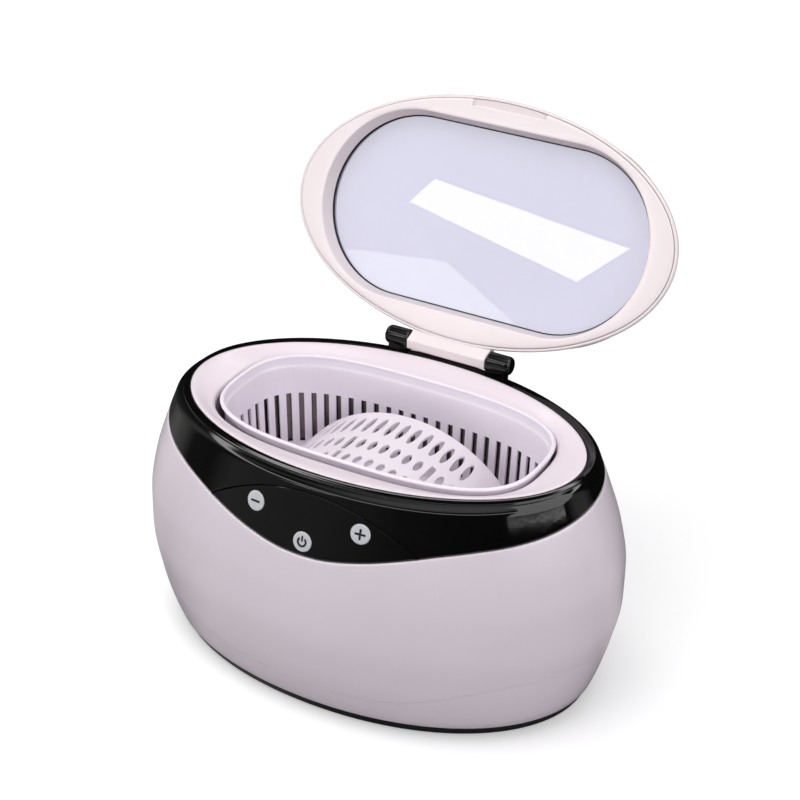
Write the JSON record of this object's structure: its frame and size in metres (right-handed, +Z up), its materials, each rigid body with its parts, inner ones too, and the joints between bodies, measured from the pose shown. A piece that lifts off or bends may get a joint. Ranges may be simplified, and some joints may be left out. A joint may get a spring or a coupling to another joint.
{
  "type": "ultrasonic cleaner",
  "caption": "Small household ultrasonic cleaner: oval white housing with a black wave band, hinged lid with a clear window, lift-out slotted basket and a curved watch stand.",
  "frame": {"origin": "centre of the base plate's flat underside, on the vertical axis of the oval body; the rubber feet stand 0.8 mm below it", "axes": "+X along the long axis of the oval, to the right as seen by a user facing the control panel; +Y towards the lid hinge at the back; +Z up. The rest pose has the lid open."},
  "size_m": [0.208, 0.1766, 0.2039],
  "materials": {
    "white_plastic": "smooth satin-gloss white with a faint lavender cast",
    "white_lid_plastic": "smooth glossy warm white",
    "white_basket_plastic": "satin white",
    "black_gloss_plastic": "high-gloss piano black",
    "black_matte_plastic": "fine-textured matte black",
    "black_rubber": "matte",
    "silver_key": "satin silver grey with dark printed symbols",
    "clear_window": "clear, polished",
    "stainless_steel": "fine brushed",
    "aluminium": "turned",
    "piezo_ceramic": "fired ceramic, matt",
    "brass_electrode": "bright sheet",
    "green_board": "solder-mask green",
    "ferrite": "dark sintered ferrite",
    "capacitor_sleeve": "shrink sleeve",
    "red_wire": "insulation",
    "display_face": "dark tinted"
  },
  "bodies": {
    "housing": {"back_mass": "stainless_steel", "base_plate": "black_matte_plastic", "base_screw_1": "stainless_steel", "base_screw_2": "stainless_steel", "base_screw_3": "stainless_steel", "base_screw_4": "stainless_steel", "capacitor": "capacitor_sleeve", "control_cable": "black_matte_plastic", "control_overlay": "black_gloss_plastic", "control_pcb": "green_board", "deck": "white_lid_plastic", "display_module": "display_face", "driver_pcb": "green_board", "electrode": "brass_electrode", "foot_1": "black_rubber", "foot_2": "black_rubber", "foot_3": "black_rubber", "foot_4": "black_rubber", "heat_sink": "aluminium", "hinge_pin": "stainless_steel", "lower_housing": "white_plastic", "mains_cable": "black_matte_plastic", "piezo_ring_lower": "piezo_ceramic", "piezo_ring_upper": "piezo_ceramic", "power_inlet": "black_matte_plastic", "switch_minus": "black_matte_plastic", "switch_plus": "black_matte_plastic", "switch_power": "black_matte_plastic", "tank": "stainless_steel", "tank_gasket": "black_rubber", "transducer_bolt": "stainless_steel", "transducer_cable": "red_wire", "transducer_horn": "aluminium", "transformer": "ferrite", "trim_ring": "black_gloss_plastic"},
    "lid": {"lid_shell": "white_lid_plastic", "lid_frame": "white_lid_plastic", "window_gasket": "black_rubber", "lid_window": "clear_window"},
    "basket": {"basket": "white_basket_plastic"},
    "watch_stand": {"watch_stand": "white_basket_plastic"},
    "key_minus": {"key_minus": "silver_key"},
    "key_power": {"key_power": "silver_key"},
    "key_plus": {"key_plus": "silver_key"}
  },
  "joints": [
    {"name": "lid_hinge", "type": "hinge", "parent": "housing", "child": "lid", "pos_m": [0, 0.05515, 0.10886], "axis": [-1, 0, 0], "range_deg": [-118.2, 0]},
    {"name": "basket_lift", "type": "slide", "parent": "housing", "child": "basket", "axis": [0, 0, 1], "range_m": [0, 0.12]},
    {"name": "watch_stand_lift", "type": "slide", "parent": "basket", "child": "watch_stand", "axis": [0, 0, 1], "range_m": [0, 0.06]},
    {"name": "key_minus_press", "type": "slide", "parent": "housing", "child": "key_minus", "axis": [0.1315, 0.9534, -0.2716], "range_m": [0, 0.0005], "stiffness_N_per_m": 600},
    {"name": "key_power_press", "type": "slide", "parent": "housing", "child": "key_power", "axis": [-0.0047, 0.9664, -0.2569], "range_m": [0, 0.0005], "stiffness_N_per_m": 600},
    {"name": "key_plus_press", "type": "slide", "parent": "housing", "child": "key_plus", "axis": [-0.1446, 0.9514, -0.272], "range_m": [0, 0.0005], "stiffness_N_per_m": 600}
  ]
}
